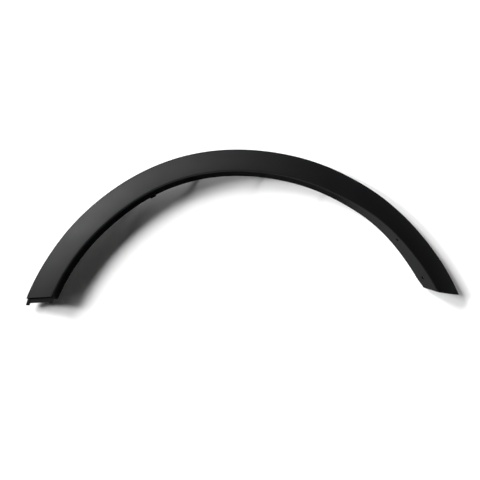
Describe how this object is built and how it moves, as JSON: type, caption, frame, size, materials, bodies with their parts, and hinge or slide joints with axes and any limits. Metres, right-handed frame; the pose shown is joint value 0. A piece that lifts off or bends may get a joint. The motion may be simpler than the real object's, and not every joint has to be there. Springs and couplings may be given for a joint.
{
  "type": "wheel arch trim",
  "caption": "Black grained wheel arch trim for a passenger car, with an inner flange, a joggled end tongue and push-in clips behind its sloping face.",
  "frame": {"origin": "centre of the object's box, at the plane that the clips' tips stand on", "axes": "+X along the arch's chord toward the flared end, +Y toward the crown, +Z away from the body panel"},
  "size_m": [0.8599, 0.3102, 0.0398],
  "materials": {
    "moulded_pp": "fine grained polypropylene, moulded in black",
    "clip_nylon": "natural nylon, smooth",
    "seal_foam": "closed-cell foam, dark grey"
  },
  "bodies": {
    "root": {"arch_moulding": "moulded_pp", "clip_1": "clip_nylon", "clip_2": "clip_nylon", "clip_3": "clip_nylon", "clip_4": "clip_nylon", "clip_5": "clip_nylon", "clip_6": "clip_nylon", "clip_7": "clip_nylon", "clip_8": "clip_nylon", "clip_seal_1": "seal_foam", "clip_seal_2": "seal_foam", "clip_seal_3": "seal_foam", "clip_seal_4": "seal_foam", "clip_seal_5": "seal_foam", "clip_seal_6": "seal_foam", "clip_seal_7": "seal_foam", "clip_seal_8": "seal_foam"}
  },
  "joints": []
}
